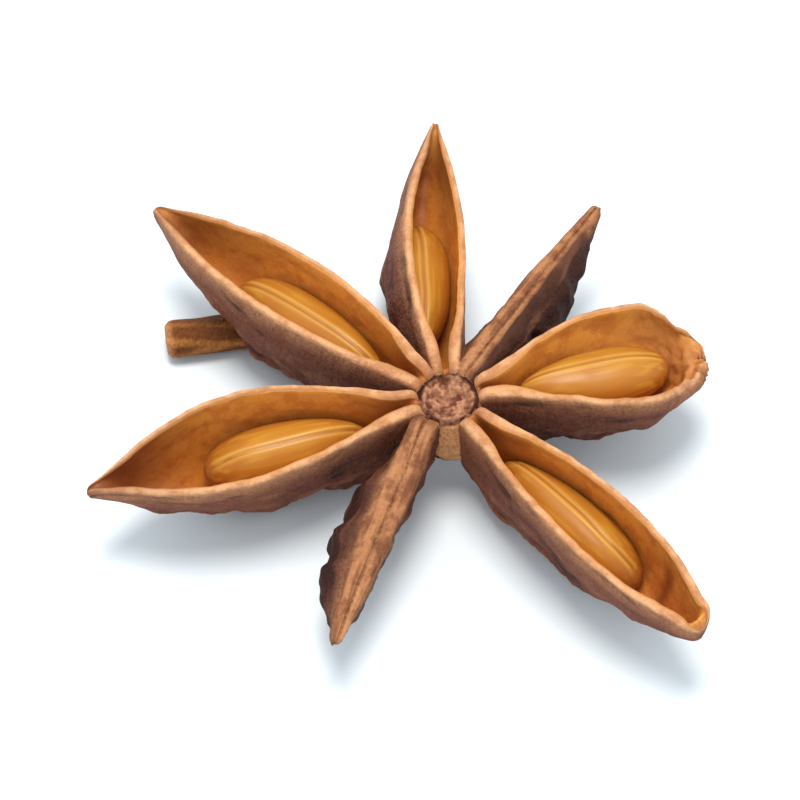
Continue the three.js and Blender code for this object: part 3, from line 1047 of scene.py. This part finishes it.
    def fading(self, inside, on_rim):
        """1 on the outer walls, and less on the inner wall and on the rim."""
        return self.math("MULTIPLY", self.by("inside", 0.4, 0.9, 1.0, inside),
                         self.by("rim", 0.0, 1.0, 1.0, on_rim))


def husk_material():
    g = HuskGraph()
    g.feed(g.shader.inputs["Base Color"], g.colour())
    g.feed(g.shader.inputs["Roughness"], g.by("inside", 0.4, 0.9, 0.68, 0.45))
    g.feed(g.shader.inputs["Specular IOR Level"], g.by("inside", 0.4, 0.9, 0.12, 0.25))
    rough = g.math("ADD", g.grain, g.math("MULTIPLY", g.spots, 2.0))
    rough = g.math("MULTIPLY", rough, g.fading(0.12, 0.5))
    g.feed(g.shader.inputs["Normal"], g.bump(rough, distance=0.11, strength=0.9))
    return g.material


def seed_material():
    """Amber with lighter fine streaks, a painted highlight along the ridges and painted shade low
    down and in the groove between the ridges, under a gloss that varies a little.
    """
    g = Graph("seed")
    cloud = g.noise(0.5, 2.0)
    colour = g.layers(
        # darker low on the seed, towards the walls that hold it: painted shade
        g.mix(g.step(g.trait("high"), 0.45, 0.95), (154, 81, 23), (176, 114, 37)),
        (0.35, g.step(cloud, 0.4, 0.65), (162, 92, 26)),
        # painted highlight along the ridges
        (0.6, g.trait("ridge"), (210, 157, 68)),
        # painted shade in the groove between the ridges
        (0.5, g.trait("groove"), (126, 66, 18)),
        (0.45, g.step(g.trait("streak"), 0.0, 0.6), (192, 138, 48)),
        (0.5, g.step(g.trait("end"), 0.93, 1.0), (160, 96, 50)),
    )
    g.feed(g.shader.inputs["Base Color"], colour)
    g.feed(g.shader.inputs["Roughness"], g.step(cloud, 0.3, 0.7, 0.28, 0.4))
    g.shader.inputs["Specular IOR Level"].default_value = 0.22
    return g.material


# ---- the part ---------------------------------------------------------------------------------

husk, hub = build_husk()
husk.data.materials.clear()
husk.data.materials.append(husk_material())
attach(husk, "root")
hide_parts("pod")

glossy = seed_material()
for carpel in CARPELS:
    if carpel["seed"]:
        seed = build_seed(carpel, hub)
        seed.data.materials.append(glossy)
        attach(seed, "root")
        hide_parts(carpel["seed"])

# ---- floor, light and camera, in metres -------------------------------------------------------

FLOOR_HALF_SIZE = 1.2
FLOOR_COLOUR = (0.74, 0.775, 0.79, 1)
KEY_PLACE = (0.0, 0.045, 0.40)
KEY_SIZE = 0.18
KEY_WATTS = 1.38
KEY_COLOUR = (1.0, 0.98, 0.95)
WORLD_COLOUR = (0.85, 0.935, 1.0, 1)
WORLD_STRENGTH = 1.14
CAMERA_ELEVATION = 57  # degrees
CAMERA_DISTANCE = 0.33
CAMERA_LENS = 290  # millimetres, as the sensor
CAMERA_SENSOR = 36


def look_at(place, target):
    return (Vector(target) - Vector(place)).to_track_quat("-Z", "Y").to_euler()


def make_floor():
    size = FLOOR_HALF_SIZE
    mesh = bpy.data.meshes.new("floor")
    corners = [(-size, -size, 0), (size, -size, 0), (size, size, 0), (-size, size, 0)]
    mesh.from_pydata(corners, [], [(0, 1, 2, 3)])
    floor = bpy.data.objects.new("floor", mesh)
    bpy.context.scene.collection.objects.link(floor)
    g = Graph("floor")
    g.shader.inputs["Base Color"].default_value = FLOOR_COLOUR
    g.shader.inputs["Roughness"].default_value = 0.7
    mesh.materials.append(g.material)


def add_key_light():
    light = bpy.data.lights.new("key", "AREA")
    light.shape = "DISK"
    light.size = KEY_SIZE
    light.energy = KEY_WATTS
    light.color = KEY_COLOUR
    lamp = bpy.data.objects.new("key", light)
    lamp.location = KEY_PLACE
    lamp.rotation_euler = look_at(KEY_PLACE, (0, 0, 0))
    bpy.context.scene.collection.objects.link(lamp)


def add_world():
    world = bpy.data.worlds.new("studio")
    world.use_nodes = True
    background = world.node_tree.nodes["Background"]
    background.inputs["Color"].default_value = WORLD_COLOUR
    background.inputs["Strength"].default_value = WORLD_STRENGTH
    bpy.context.scene.world = world


def add_camera():
    elevation = math.radians(CAMERA_ELEVATION)
    low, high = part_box("pod")
    target = Vector(((low.x + high.x) / 2, (low.y + high.y) / 2, high.z * 0.4))
    back = Vector((0, -math.cos(elevation), math.sin(elevation)))
    camera = bpy.data.objects.new("camera", bpy.data.cameras.new("camera"))
    camera.data.sensor_width = CAMERA_SENSOR
    camera.data.lens = CAMERA_LENS
    camera.location = target + CAMERA_DISTANCE * back
    camera.rotation_euler = look_at(camera.location, target)
    bpy.context.scene.collection.objects.link(camera)
    bpy.context.scene.camera = camera


make_floor()
add_key_light()
add_world()
add_camera()
bpy.context.scene.view_settings.view_transform = "Standard"
